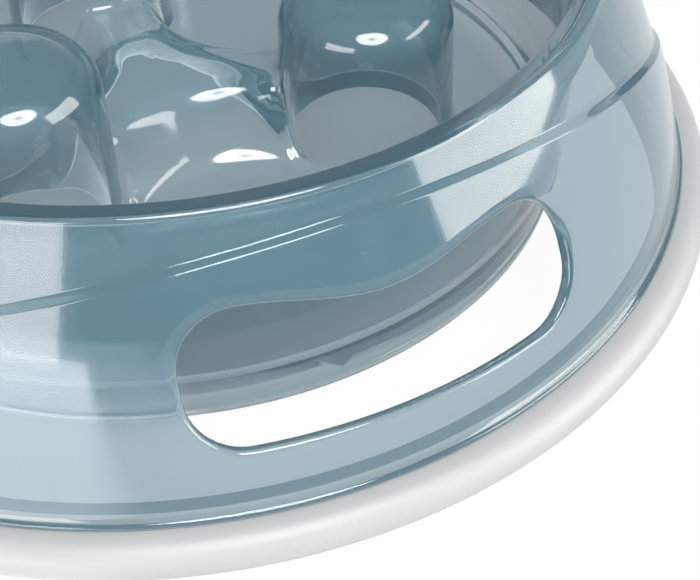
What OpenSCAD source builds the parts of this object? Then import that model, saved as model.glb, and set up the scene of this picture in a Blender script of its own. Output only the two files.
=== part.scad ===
// Slow feeder bowl: a glossy moulding with a deep feeding well, three tall
// posts joined by a low star, an outer skirt with two hand slots, and a soft
// ring round the skirt's foot. The bowl stands on the ring's underside at
// z = 0, with its axis on Z and its hand slots at the front (-Y) and back.

/* [Overall] */
// Diameter over the soft ring
overall_d = 230; // [200:1:280]
// Height of the rim above what the bowl stands on
bowl_h = 55; // [48:0.5:70]
// Wall of the moulding
wall = 2.3; // [1.8:0.1:3]

/* [Rim] */
// Radius of the well's mouth
mouth_r = 84.2; // [76:0.1:92]
// Width of the rim from the mouth to the skirt's top edge
rim_w = 5; // [4.9:0.1:8]
// Thickness of the rim where it joins skirt and well
rim_t = 2.6; // [2:0.1:4]
// Rounding of the rim's two edges
rim_round = 1; // [0.6:0.1:1.2]

/* [Skirt] */
// Width of the soft ring's step in front of the skirt's foot
foot_step = 6.25; // [5:0.05:8]
// How far the skirt swells over the straight line from foot to rim
skirt_swell = 1.75; // [0:0.05:3]
// How far the lower panels stand out of the skirt
panel_proud = 1.1; // [0.6:0.1:2]
// Height of the panel's arched edge over the middle of a hand slot
panel_top_z = 50.8; // [46:0.1:51]
// Slope of the plane that the arched edge lies in
panel_tilt = 27.5; // [20:0.5:30]
// Height of the bead along the skirt's foot
foot_bead_h = 1.6; // [1:0.1:3]
// How far the bead along the skirt's foot stands out
foot_bead_w = 0.6; // [0.3:0.1:1]

/* [Hand slots] */
// Half of a hand slot's width
slot_half_w = 36; // [30:0.5:42]
// Height of a hand slot's lower edge
slot_low_z = 18.5; // [16:0.5:22]
// Height of a hand slot's two upper lobes
slot_high_z = 41.4; // [38:0.1:43]
// How far the upper edge dips between the lobes
slot_dip = 3.1; // [0:0.1:5]
// Rounding of a hand slot's upper corners
slot_top_round = 11; // [8:0.5:11]
// Rounding of a hand slot's lower corners
slot_low_round = 9; // [6:0.5:11]

/* [Feeding well] */
// Height of the well's floor
floor_z = 7.4; // [6:0.1:10]
// How much the well narrows from its mouth to its floor
well_taper = 3.3; // [1:0.1:8]
// Rounding between the well's floor and its wall
well_fillet = 8; // [4:0.5:12]
// Depth of the thin lip under the edge of the floor
base_lip_h = 0.9; // [0.5:0.1:1.2]
// Width of the thin lip under the edge of the floor
base_lip_w = 1.2; // [0.8:0.1:2]

/* [Posts] */
// Radius of a post at its foot
post_r = 18.5; // [15:0.1:20]
// Slope of a post's side
post_draft = 1.5; // [0.5:0.1:3]
// Rounding of a post's top edge
post_round = 8.5; // [4:0.5:10]
// Distance of the posts' axes from the bowl's axis
post_at = 43; // [40:0.5:46]
// Height of the right post's top
post_right_z = 41.6; // [36:0.1:50]
// Height of the left post's top
post_left_z = 48.3; // [36:0.1:52]
// Height of the rear post's top
post_rear_z = 41.6; // [36:0.1:50]

/* [Centre star] */
// Height of the star's top
star_top_z = 21.8; // [16:0.1:26]
// Share of the way to where flank and post touch that the star's arms reach
star_reach_share = 0.98; // [0.9:0.01:0.99]
// Distance of the star's concave flanks from the bowl's axis, half-way up
star_waist = 16; // [14:0.5:18]
// How far a flank leans back between the floor and the star's top
flank_run = 10; // [4:0.5:12]
// Rounding of the star's upper edge
star_round = 4; // [1:0.5:5]

/* [Soft ring] */
// Height of the soft ring in front of the skirt
ring_h = 6.4; // [5:0.1:9]
// Width of the soft ring
ring_w = 11.8; // [11:0.1:16]
// Rounding of the ring's outer upper edge
ring_top_round = 4; // [2:0.5:4]
// Rounding of the ring's outer lower edge
ring_low_round = 1.8; // [1:0.1:2]
// How far the skirt's foot sits in the ring's groove
groove_depth = 3; // [2:0.1:4]
// How far the ring's inner lip rises above its outer edge
inner_lip = 1.2; // [0.5:0.1:3]

/* [Hidden] */

// Overrun of every cut past the face that it goes through
over = 1;
// Side clearance between the skirt's foot and the ring's groove
groove_gap = 0.1;
// Round forms and swept curves
$fn = 96;
curve_steps = 16;
round_steps = 8;

bowl_blue = [0.44, 0.60, 0.67];
ring_white = [0.93, 0.94, 0.93];

ring_r = overall_d / 2;
foot_r = ring_r - foot_step;
foot_low_z = ring_h - groove_depth;
rim_r = mouth_r + rim_w;
rim_low_z = bowl_h - rim_t;
floor_r = mouth_r - well_taper;
panel_rim_r = rim_r + panel_proud;
panel_swell = skirt_swell + panel_proud / 2;
core_r = post_at - post_r - wall;

// Posts and hollows stand in turn round the axis, in equal steps from the hollow at the front
turn_step = 360 / 6;
post_right_az = turn_step;
post_rear_az = 3 * turn_step;
post_left_az = 5 * turn_step;
HOLLOW_AZ = [0, 2 * turn_step, 4 * turn_step];
POST_AZ = [post_right_az, post_rear_az, post_left_az];

// Round hollow between two posts: half-way up, its circle passes the star's waist and touches both posts
waist_step = post_r - star_waist;
hollow_at = (post_at * post_at - waist_step * waist_step) / (2 * post_at * cos(turn_step) + 2 * waist_step);
hollow_r = hollow_at - star_waist;
touch_share = hollow_r / (hollow_r + post_r);
touch_x = post_at * sin(turn_step) * touch_share;
touch_y = hollow_at + (post_at * cos(turn_step) - hollow_at) * touch_share;
star_r = star_reach_share * norm([touch_x, touch_y]);

// Points of a quarter or other arc about a centre
function arc(cx, cz, r, from, to, n = round_steps) =
    [for (i = [0:n]) let (a = from + (to - from) * i / n) [cx + r * cos(a), cz + r * sin(a)]];

// Radius of a swelling wall between the foot and the rim's height
function swell_r(z, top_r, swell) =
    let (t = (z - ring_h) / (bowl_h - ring_h))
    foot_r + (top_r - foot_r) * t + swell * 4 * t * (1 - t);

// Points of a swelling wall between two heights
function swell_line(low, high, top_r, swell, inset = 0) =
    [for (i = [0:curve_steps]) let (z = low + (high - low) * i / curve_steps)
        [swell_r(max(z, ring_h), top_r, swell) - inset, z]];

// Height of a hand slot's upper edge across its width
function slot_edge_z(x, half) =
    slot_high_z - slot_dip * (1 + cos(180 * x / half)) / 2;

function reverse(list) = [for (i = [len(list) - 1:-1:0]) list[i]];

// Turns and places what follows on the circle of posts
module at_azimuth(distance, azimuth) {
    rotate([0, 0, azimuth])
        translate([0, -distance, 0])
            children();
}

// Outline of the skirt's wall with its foot bead and the rim
module skirt_profile() {
    outside = swell_line(foot_low_z, bowl_h - rim_round, rim_r, skirt_swell);
    inside = swell_line(foot_low_z, rim_low_z, rim_r, skirt_swell, wall);
    rim_top = concat(
        arc(rim_r - rim_round, bowl_h - rim_round, rim_round, 0, 90),
        arc(mouth_r + rim_round, bowl_h - rim_round, rim_round, 90, 180));
    polygon(concat(outside, rim_top, [[mouth_r, rim_low_z]], reverse(inside)));
    polygon([
        [foot_r - wall / 2, ring_h],
        [foot_r + foot_bead_w, ring_h],
        [foot_r + foot_bead_w, ring_h + foot_bead_h / 2],
        [swell_r(ring_h + foot_bead_h, rim_r, skirt_swell), ring_h + foot_bead_h],
        [foot_r - wall / 2, ring_h + foot_bead_h]
    ]);
}

// Outline of the lower panel's proud skin
module panel_profile() {
    outside = swell_line(ring_h, panel_top_z + over, panel_rim_r, panel_swell);
    inside = swell_line(ring_h, panel_top_z + over, rim_r, skirt_swell, wall / 2);
    polygon(concat(outside, reverse(inside)));
}

// One lower panel, cut along the tilted plane of its arched edge
module lower_panel() {
    edge_r = swell_r(panel_top_z, panel_rim_r, panel_swell);
    intersection() {
        rotate_extrude() panel_profile();
        translate([0, -edge_r, panel_top_z])
            rotate([-panel_tilt, 0, 0])
                translate([-overall_d / 2, -overall_d / 2, -overall_d])
                    cube([overall_d, overall_d * 3 / 2, overall_d]);
        translate([-overall_d / 2, -overall_d / 2, 0])
            cube([overall_d, overall_d / 2, bowl_h]);
    }
}

// Outline of a hand slot as seen from the front
module slot_outline() {
    lobe_x = slot_half_w - slot_top_round;
    low_x = slot_half_w - slot_low_round;
    polygon(concat(
        arc(low_x, slot_low_z + slot_low_round, slot_low_round, -90, 0),
        arc(lobe_x, slot_high_z - slot_top_round, slot_top_round, 0, 90),
        [for (i = [1:curve_steps - 1]) let (x = lobe_x - 2 * lobe_x * i / curve_steps)
            [x, slot_edge_z(x, lobe_x)]],
        arc(-lobe_x, slot_high_z - slot_top_round, slot_top_round, 90, 180),
        arc(-low_x, slot_low_z + slot_low_round, slot_low_round, 180, 270)));
}

// The two hand slots, run out through the skirt from the hollow behind it
module slot_cutters() {
    for (side = [0, 180])
        rotate([0, 0, side])
            translate([0, -rim_r, 0])
                rotate([90, 0, 0])
                    linear_extrude(ring_r - rim_r + over)
                        slot_outline();
}

module outer_skirt() {
    color(bowl_blue)
        difference() {
            union() {
                rotate_extrude() skirt_profile();
                lower_panel();
                mirror([0, 1, 0]) lower_panel();
            }
            slot_cutters();
        }
}

// Outline of the well's wall and floor in one wall thickness
module well_profile() {
    slope = atan((mouth_r - floor_r) / (rim_low_z - floor_z));
    under_z = floor_z - wall;
    lip_r = floor_r + wall;
    polygon(concat(
        [[0, floor_z]],
        arc(floor_r - well_fillet, floor_z + well_fillet, well_fillet, -90, -slope),
        [[mouth_r, rim_low_z], [mouth_r + wall, rim_low_z]],
        [[lip_r, under_z - base_lip_h], [lip_r - base_lip_w, under_z - base_lip_h]],
        [[lip_r - base_lip_w, under_z], [0, under_z]]));
}

// Radius of a post's side at a height
function post_side_r(z) = post_r - (z - floor_z) * tan(post_draft);

// Radius at a height of a round hollow's flank beside the star
function flank_r(z) =
    let (middle_z = (floor_z + star_top_z) / 2)
    hollow_r + flank_run * (z - middle_z) / (star_top_z - floor_z);

// Outline of a post's wall: a sloping side and a domed edge, open at the bottom
module post_profile(top_z) {
    dome_z = top_z - post_round;
    dome_r = post_side_r(dome_z) - post_round;
    polygon(concat(
        [[post_r - wall, floor_z], [post_r, floor_z]],
        arc(dome_r, dome_z, post_round, 0, 90),
        [[0, top_z], [0, top_z - wall]],
        arc(dome_r, dome_z, post_round - wall, 90, 0)));
}

// Outline of one round hollow that flanks the star, with its rounded upper edge
module flank_profile() {
    low_z = floor_z - over;
    round_z = star_top_z - star_round;
    round_r = flank_r(round_z) + star_round;
    polygon(concat(
        [[0, low_z], [flank_r(low_z), low_z]],
        arc(round_r, round_z, star_round, 180, 90),
        [[round_r, star_top_z + over], [0, star_top_z + over]]));
}

// The core under the star, one wall thickness inside its flanks and the posts
module star_core() {
    low_z = floor_z - wall - over;
    top_z = star_top_z - wall;
    cut_low_z = low_z - over;
    cut_top_z = top_z + over;
    difference() {
        translate([0, 0, low_z])
            cylinder(r = core_r, h = top_z - low_z);
        for (azimuth = HOLLOW_AZ)
            at_azimuth(hollow_at, azimuth)
                translate([0, 0, cut_low_z])
                    cylinder(r1 = flank_r(cut_low_z) + wall, r2 = flank_r(cut_top_z) + wall,
                        h = cut_top_z - cut_low_z);
    }
}

module feeding_well() {
    low_z = floor_z - wall - over;
    color(bowl_blue)
        difference() {
            rotate_extrude() well_profile();
            star_core();
            for (azimuth = POST_AZ)
                at_azimuth(post_at, azimuth)
                    translate([0, 0, low_z])
                        cylinder(r = post_r - wall, h = wall + 2 * over);
        }
}

module post(azimuth, top_z) {
    color(bowl_blue)
        at_azimuth(post_at, azimuth)
            rotate_extrude() post_profile(top_z);
}

module post_right() {
    post(post_right_az, post_right_z);
}

module post_left() {
    post(post_left_az, post_left_z);
}

module post_rear() {
    post(post_rear_az, post_rear_z);
}

module centre_star() {
    low_z = floor_z - over;
    high_z = star_top_z + over;
    color(bowl_blue)
        difference() {
            translate([0, 0, floor_z])
                cylinder(r = star_r, h = star_top_z - floor_z);
            for (azimuth = HOLLOW_AZ)
                at_azimuth(hollow_at, azimuth)
                    rotate_extrude() flank_profile();
            for (azimuth = POST_AZ)
                at_azimuth(post_at, azimuth)
                    translate([0, 0, low_z])
                        cylinder(r1 = post_side_r(low_z), r2 = post_side_r(high_z),
                            h = high_z - low_z);
            star_core();
        }
}

// Outline of the soft ring with the groove that takes the skirt's foot
module ring_profile() {
    inner_r = ring_r - ring_w;
    groove_in = foot_r - wall - groove_gap;
    groove_out = foot_r + groove_gap;
    lip_round = inner_lip / 2;
    polygon(concat(
        [[inner_r, 0]],
        arc(ring_r - ring_low_round, ring_low_round, ring_low_round, -90, 0),
        arc(ring_r - ring_top_round, ring_h - ring_top_round, ring_top_round, 0, 90),
        [[groove_out, ring_h], [groove_out, foot_low_z], [groove_in, foot_low_z],
            [groove_in, ring_h + inner_lip]],
        arc(inner_r + lip_round, ring_h + inner_lip - lip_round, lip_round, 90, 180)));
}

module grip_ring() {
    color(ring_white)
        rotate_extrude() ring_profile();
}

outer_skirt();
feeding_well();
post_right();
post_left();
post_rear();
centre_star();
grip_ring();
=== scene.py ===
"""Slow feeder bowl: the moulding and its soft ring as photographed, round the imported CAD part.

The glossy moulding is one closed surface. Every point of it comes from a formula of azimuth and height,
in millimetres. The main sizes are the CAD part's, and the fine edges are this script's own. Azimuth runs
from the front hand slot at -Y towards +X.
"""

import logging
import math
from dataclasses import dataclass, field
from enum import Enum

import bmesh
import bpy
import numpy as np
from mathutils import Matrix, Vector

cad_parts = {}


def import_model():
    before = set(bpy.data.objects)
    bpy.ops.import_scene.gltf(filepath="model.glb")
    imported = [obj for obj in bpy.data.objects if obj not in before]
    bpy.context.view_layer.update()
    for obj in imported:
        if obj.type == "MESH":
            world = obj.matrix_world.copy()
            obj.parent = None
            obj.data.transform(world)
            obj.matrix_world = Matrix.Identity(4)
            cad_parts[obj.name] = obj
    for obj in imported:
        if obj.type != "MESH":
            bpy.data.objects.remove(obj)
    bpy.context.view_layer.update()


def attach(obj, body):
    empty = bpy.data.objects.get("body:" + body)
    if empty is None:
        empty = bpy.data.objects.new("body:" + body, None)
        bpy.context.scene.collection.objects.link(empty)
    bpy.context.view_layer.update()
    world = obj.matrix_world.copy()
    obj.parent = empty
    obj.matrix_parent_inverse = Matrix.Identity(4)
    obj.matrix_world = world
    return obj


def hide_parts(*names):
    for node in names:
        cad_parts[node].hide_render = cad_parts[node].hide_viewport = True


LOG = logging.getLogger("slow_feeder_bowl")
MM = 0.001
FULL_TURN = 360.0
Measure = np.ndarray | float
Colour = tuple[float, float, float]
Socket = bpy.types.NodeSocket
Feed = Socket | float | tuple[float, ...]


# Sizes


@dataclass(frozen=True)
class Post:
    """One feeding post.

    Args:
        name: short name of the post; not used.
        at: distance of its axis from the bowl's axis.
        azimuth: its azimuth in degrees.
        top_z: height of its top.
    """

    name: str
    at: float
    azimuth: float
    top_z: float

    @property
    def centre(self) -> np.ndarray:
        """The post's axis in plan."""
        turn = math.radians(self.azimuth)
        return np.array([self.at * math.sin(turn), -self.at * math.cos(turn)])


@dataclass(frozen=True)
class Hollow:
    """One of the round hollows that flank the star.

    Its flank is a stack of circles. Their distance from the bowl's axis and their radius change evenly
    from the floor to the star's top.

    Args:
        azimuth: its azimuth in degrees.
        low_at: distance of the lowest circle's centre from the bowl's axis.
        low_r: radius of the lowest circle.
        high_at: distance of the highest circle's centre.
        high_r: radius of the highest circle.
    """

    azimuth: float
    low_at: float
    low_r: float
    high_at: float
    high_r: float

    @property
    def run(self) -> float:
        """How far the flank leans back between the two circles, on the hollow's middle line."""
        return (self.low_at - self.low_r) - (self.high_at - self.high_r)

    def share(self, x: np.ndarray, y: np.ndarray) -> np.ndarray:
        """Which circle of the stack passes a point: nought for the lowest, one for the highest.

        With u outwards and v sideways from the lowest centre, the circle of share t passes the point where
        (u - t * shift)^2 + v^2 = (low_r + t * growth)^2. The smaller root lies on the star's side.

        Args:
            x: the points' x in plan.
            y: the points' y in plan.

        Returns:
            The shares.
        """
        turn = math.radians(self.azimuth)
        u = x * math.sin(turn) - y * math.cos(turn) - self.low_at
        v = x * math.cos(turn) + y * math.sin(turn)
        shift = self.high_at - self.low_at
        growth = self.high_r - self.low_r
        a = shift * shift - growth * growth
        b = u * shift + self.low_r * growth
        c = u * u + v * v - self.low_r * self.low_r
        return (b - np.sqrt(np.maximum(b * b - a * c, 0.0))) / a


@dataclass(frozen=True)
class BowlSizes:
    """All sizes of the moulding and the ring, in millimetres and degrees.

    A pair named after a fade or an edge says where that soft step begins and ends, and a pair of turns
    says where that arc does.
    """

    # Soft ring: its height and its width.
    ring_h: float = 6.4
    ring_w: float = 11.8

    # Wall of the moulding, and the skirt: it runs from the foot's radius at the ring's top to the rim's
    # radius, and swells between them.
    wall: float = 2.3
    rim_z: float = 55.0
    rim_r: float = 89.2
    foot_r: float = 108.75
    skirt_swell: float = 1.75

    # Lower panels: how far they stand proud, the tilted plane that cuts their arched edge, and the least
    # height of that edge over the bead.
    panel_proud: float = 1.1
    panel_top_z: float = 50.8
    panel_tilt: float = 27.5
    arch_over_bead: float = 0.9

    # The bevel under the arched edge: its height at some azimuths from the nearer slot's middle.
    bevel_azimuths: tuple[float, ...] = (0, 17, 30, 45, 70, 90)
    bevel_heights: tuple[float, ...] = (1.3, 1.4, 1.8, 1.2, 0.9, 0.5)
    bevel_over_bead: float = 0.35

    # The bead over the ring, and the skirt's foot inside the ring's groove.
    bead_top_z: float = 8.0
    bead_gap: float = 0.1
    bead_round: float = 0.65
    bead_turns: tuple[float, float] = (65.0, -90.0)
    foot_low_z: float = 3.4
    foot_round: float = 0.3

    # Rim: the rounded mouth, and the round outer edge from which the skirt falls.
    mouth_r: float = 84.2
    mouth_round: float = 1.25
    mouth_round_z: float = 53.0
    mouth_turns: tuple[float, float] = (180.0, 92.0)
    rim_round: float = 1.0
    rim_round_at: tuple[float, float] = (88.61, 54.0)
    rim_turns: tuple[float, float] = (104.0, 22.0)
    skirt_from_z: float = 54.37

    # Under the rim: the round inside corner between the skirt's wall and the well's wall.
    rim_low_z: float = 52.4
    fold_round: float = 0.67
    fold_gap: float = 0.16
    fold_low: float = 0.8
    fold_turns: tuple[float, float] = (40.0, 150.0)

    # Hand slots, in the front view, and the turned-in edge that is thicker in their upper part.
    slot_half_w: float = 36.0
    slot_low_z: float = 18.5
    slot_high_z: float = 41.4
    slot_dip: float = 3.1
    slot_top_round: float = 11.0
    slot_low_round: float = 9.0
    slot_upper_fade: tuple[float, float] = (24.0, 36.0)
    slot_lip: float = 0.8
    slot_lip_more: float = 1.5
    slot_thick_more: float = 0.9
    slot_round_in: float = 0.5

    # Well: its floor, the fillet round it, and how much thicker its wall is where it meets the floor.
    floor_z: float = 7.4
    floor_r: float = 80.9
    well_fillet: float = 8.0
    corner_room: float = 0.25

    # The lip under the well, with the fine bead over it.
    base_lip_h: float = 0.9
    lip_out_r: float = 83.3
    lip_in_r: float = 82.0
    lip_round: float = 0.35
    lip_fillet: float = 0.25
    lip_bead: float = 0.35
    lip_bead_up: float = 1.1
    lip_bead_turns: tuple[float, float] = (75.0, -75.0)

    # Posts: radius at the floor, draft, rounding of the top, its crown, and the fillets at the foot.
    post_r: float = 18.5
    post_draft: float = 1.5
    post_round: float = 8.5
    post_crown: float = 0.6
    post_foot: float = 2.5
    post_foot_under: float = 0.6

    # Star: its top, the hollows that flank it, its roundings, and where its arms and its hollow end.
    star_top_z: float = 21.8
    hollow_low_at: float = 50.0
    hollow_low_r: float = 28.4
    hollow_high_at: float = 37.0
    hollow_high_r: float = 25.5
    flank_foot: float = 8.0
    star_round: float = 5.0
    arm_fade: tuple[float, float] = (33.0, 39.0)
    hollow_fade: tuple[float, float] = (12.0, 30.0)
    gate_mark_edge: tuple[float, float] = (3.0, 3.6)
    gate_mark_depth: float = 0.22

    posts: tuple[Post, ...] = (
        Post("right", 43.0, 60.0, 41.6),
        Post("rear", 43.0, 180.0, 41.6),
        Post("left", 43.0, 300.0, 48.3),
    )

    @property
    def hollows(self) -> list[Hollow]:
        """The round hollows between the posts, which flank the star.

        Returns:
            One hollow for each post, halfway from it to the next one.
        """
        half_way = FULL_TURN / 2 / len(self.posts)
        low = (self.hollow_low_at, self.hollow_low_r)
        high = (self.hollow_high_at, self.hollow_high_r)
        return [Hollow(post.azimuth + half_way, *low, *high) for post in self.posts]


# Curves and mesh building


def arc_points(
    centre: tuple[float, float], radius: float, start: float, end: float, count: int
) -> np.ndarray:
    """Points of an arc: the centre plus radius times cosine and sine of evenly spaced turns.

    Args:
        centre: the arc's centre, as radius and height or as x and z.
        radius: the arc's radius.
        start: turn of the first point, in degrees from the first axis.
        end: turn of the last point.
        count: how many points, both ends included.

    Returns:
        The points.
    """
    turn = np.radians(np.linspace(start, end, count))
    return np.stack([centre[0] + radius * np.cos(turn), centre[1] + radius * np.sin(turn)], axis=-1)


def rounded_corner(
    corner: tuple[float, float], radius: float, start: float, end: float, count: int
) -> np.ndarray:
    """Points of the arc that rounds a square corner of an outline.

    Its centre lies one radius inwards of the corner along both axes, away from the arc's middle.

    Args:
        corner: where the two straight runs would meet.
        radius: the rounding.
        start: turn of the first point, in degrees.
        end: turn of the last point.
        count: how many points, both ends included.

    Returns:
        The points.
    """
    middle = math.radians((start + end) / 2)
    inwards = (-math.copysign(radius, math.cos(middle)), -math.copysign(radius, math.sin(middle)))
    return arc_points((corner[0] + inwards[0], corner[1] + inwards[1]), radius, start, end, count)


def run_points(first: np.ndarray, last: np.ndarray, rows: int) -> np.ndarray:
    """Points of a straight run in even steps, without its first point."""
    return first + (last - first) * np.linspace(0, 1, rows + 1)[1:, None]


def smooth_step(reach: tuple[float, float], value: Measure) -> Measure:
    """A soft rise from nought to one: three times the square of the way less twice its cube.

    Args:
        reach: the values at which the rise begins and ends.
        value: where it is wanted.

    Returns:
        The rise there.
    """
    low, high = reach
    share = np.clip((value - low) / (high - low), 0, 1)
    return share * share * (3 - 2 * share)


def circle_points(azimuth: np.ndarray, radius: Measure, height: Measure) -> np.ndarray:
    """Points round the bowl's axis: x is radius times sine, and y is minus radius times cosine.

    Args:
        azimuth: the points' azimuths in degrees.
        radius: one radius, or one for each point.
        height: one height, or one for each point.

    Returns:
        The points, as x, y, z.
    """
    turn = np.radians(azimuth)
    radius = np.broadcast_to(radius, turn.shape)
    height = np.broadcast_to(height, turn.shape)
    return np.stack([radius * np.sin(turn), -radius * np.cos(turn), height], axis=-1)


class SurfaceBuilder:
    """Collects the points and faces of one surface, in millimetres."""

    def __init__(self) -> None:
        """Starts with no point and no face."""
        self._points: list[np.ndarray] = []
        self._count = 0
        self._quads: list[np.ndarray] = []
        self._triangles: list[np.ndarray] = []

    def add(self, points: np.ndarray) -> np.ndarray:
        """Adds points.

        Args:
            points: array whose last axis holds x, y, z.

        Returns:
            The new points' indices, in the shape of the array without its last axis.
        """
        flat = np.asarray(points, float).reshape(-1, 3)
        index = np.arange(self._count, self._count + len(flat))
        self._points.append(flat)
        self._count += len(flat)
        return index.reshape(points.shape[:-1])

    def revolve(self, azimuth: np.ndarray, outline: np.ndarray) -> np.ndarray:
        """Adds one circle of points for each radius and height of an outline, and gives their indices."""
        return np.stack([self.add(circle_points(azimuth, r, z)) for r, z in outline])

    def places(self, index: np.ndarray) -> np.ndarray:
        """The points that have the given indices."""
        return np.concatenate(self._points)[index]

    def join(self, rows: np.ndarray, keep: np.ndarray | None = None) -> None:
        """Lays quads between neighbouring rows of indices, whose last column meets the first one.

        Args:
            rows: indices, one row after another.
            keep: which quads to lay, one flag per cell; all of them when left out.
        """
        right = np.roll(rows, -1, axis=1)
        quads = np.stack([rows[:-1], right[:-1], right[1:], rows[1:]], axis=-1)
        self._quads.append(quads[keep] if keep is not None else quads.reshape(-1, 4))

    def fan(self, ring: np.ndarray, centre: int) -> None:
        """Closes a ring of indices with triangles to one centre point."""
        triangles = np.stack([ring, np.roll(ring, -1), np.full_like(ring, centre)], axis=-1)
        self._triangles.append(triangles)

    def build(self, name: str) -> bpy.types.Object:
        """Makes the Blender object, smooth, with faces that point outwards.

        Args:
            name: the object's name.

        Returns:
            The object, linked to the scene.
        """
        points = np.concatenate(self._points) * MM
        faces = np.concatenate(self._quads).tolist()
        if self._triangles:
            faces += np.concatenate(self._triangles).tolist()
        mesh = bpy.data.meshes.new(name)
        mesh.from_pydata(points.tolist(), [], faces)
        work = bmesh.new()
        work.from_mesh(mesh)
        loose = [v for v in work.verts if not v.link_faces]
        bmesh.ops.delete(work, geom=loose, context="VERTS")
        bmesh.ops.recalc_face_normals(work, faces=work.faces)
        open_edges = sum(1 for e in work.edges if not e.is_manifold)
        work.to_mesh(mesh)
        work.free()
        mesh.polygons.foreach_set("use_smooth", [True] * len(mesh.polygons))
        mesh.update()
        LOG.info("%s: %d faces, %d open edges", name, len(mesh.polygons), open_edges)
        piece = bpy.data.objects.new(name, mesh)
        bpy.context.scene.collection.objects.link(piece)
        return piece


# Formulas of the moulding


@dataclass(frozen=True)
class SkirtShape:
    """The outer skirt: a swelling cone whose lower panels stand proud below a tilted plane.

    Args:
        sizes: the bowl's sizes.
    """

    sizes: BowlSizes

    # Rounds of the search for the arched edge. Each one takes away at least half of what is left.
    ROUNDS = 60
    # Half of the height over which the lean is measured. The whole is one millimetre.
    HALF_STEP = 0.5

    def radius(self, height: Measure, panel: bool) -> Measure:
        """Radius of the skirt: an even run from foot to rim, plus a swell that is a parabola of height.

        Args:
            height: heights over the ground.
            panel: True in a lower panel, False above its arched edge.

        Returns:
            The radii.
        """
        s = self.sizes
        top = s.rim_r + (s.panel_proud if panel else 0)
        swell = s.skirt_swell + (s.panel_proud / 2 if panel else 0)
        share = (np.maximum(height, s.ring_h) - s.ring_h) / (s.rim_z - s.ring_h)
        return s.foot_r + (top - s.foot_r) * share + swell * 4 * share * (1 - share)

    def lean(self, height: Measure) -> Measure:
        """How far a lower panel leans in from upright, in radians: the angle of its fall over 1 mm."""
        inwards = self.radius(height - self.HALF_STEP, True) - self.radius(height + self.HALF_STEP, True)
        return np.arctan(inwards)

    def arch_height(self, azimuth: np.ndarray) -> np.ndarray:
        """Height of the panel's arched edge: where the tilted plane cuts the panel's surface.

        The plane's height falls with the distance from the edge's highest point, measured towards the
        middle. Each round goes half of the way to it.

        Args:
            azimuth: azimuths in degrees.

        Returns:
            The heights.
        """
        s = self.sizes
        slope = math.tan(math.radians(s.panel_tilt))
        reach = np.abs(np.cos(np.radians(azimuth)))
        edge_r = self.radius(np.array(s.panel_top_z), True)
        height = np.full_like(reach, s.panel_top_z)
        for _ in range(self.ROUNDS):
            plane = s.panel_top_z - slope * (edge_r - self.radius(height, True) * reach)
            height = 0.5 * height + 0.5 * plane
        return np.maximum(height, s.bead_top_z + s.arch_over_bead)

    def bevel(self, azimuth: np.ndarray) -> np.ndarray:
        """Height of the bevel under the arched edge.

        Args:
            azimuth: azimuths in degrees.

        Returns:
            The heights, never so much that the bevel meets the bead.
        """
        s = self.sizes
        from_slot = np.degrees(np.arccos(np.abs(np.cos(np.radians(azimuth)))))
        wanted = np.interp(from_slot, s.bevel_azimuths, s.bevel_heights)
        return np.minimum(wanted, self.arch_height(azimuth) - s.bead_top_z - s.bevel_over_bead)

    def edges(self, azimuth: np.ndarray) -> tuple[np.ndarray, np.ndarray]:
        """Heights of the bevel's upper and lower edge at some azimuths."""
        top = self.arch_height(azimuth)
        return top, top - self.bevel(azimuth)


class FloorShape:
    """Height of the well's floor with the star, as a function of place."""

    # Points round the foot and the head of the star's flank.
    FOOT_POINTS = 13
    HEAD_POINTS = 9

    def __init__(self, sizes: BowlSizes, under: bool) -> None:
        """Works out the section of the star's flank: a foot fillet, a straight run and a round head.

        Args:
            sizes: the bowl's sizes.
            under: True for the moulding's underside, one wall thickness inside the star.
        """
        self.sizes = sizes
        self.under = under
        rise = sizes.star_top_z - sizes.floor_z
        run = sizes.hollows[0].run
        slope = math.atan2(rise, run)
        tilt = math.degrees(slope)
        lean = math.tan(slope / 2)
        foot_at = (-sizes.flank_foot * lean, sizes.flank_foot)
        head_at = (run + sizes.star_round * lean, rise - sizes.star_round)
        foot = arc_points(foot_at, sizes.flank_foot, -90, -90 + tilt, self.FOOT_POINTS)
        head = arc_points(head_at, sizes.star_round, 90 + tilt, 90, self.HEAD_POINTS)
        self._section = np.concatenate([foot, head])

    def height(self, x: np.ndarray, y: np.ndarray) -> np.ndarray:
        """Height of the surface: the floor plus the lowest of the star's flanks.

        The flanks fade out towards the wall. The upper side has the gate mark's dimple too.

        Args:
            x: the points' x in plan.
            y: the points' y in plan.

        Returns:
            The heights.
        """
        s = self.sizes
        grow = s.wall if self.under else 0.0
        rise = np.full(np.shape(x), np.inf)
        for hollow in s.hollows:
            along = hollow.share(x, y) * hollow.run - grow
            rise = np.minimum(rise, np.interp(along, self._section[:, 0], self._section[:, 1]))
        from_axis = np.hypot(x, y)
        if self.under:
            return s.floor_z - s.wall + rise * (1 - smooth_step(s.hollow_fade, from_axis))
        reach = 1 - smooth_step(s.arm_fade, from_axis)
        mark = s.gate_mark_depth * (1 - smooth_step(s.gate_mark_edge, from_axis))
        return s.floor_z + rise * reach - mark

    def lay(self, place: np.ndarray) -> np.ndarray:
        """Lifts points in plan, x and y, to the surface."""
        return np.column_stack([place, self.height(place[:, 0], place[:, 1])])


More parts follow.
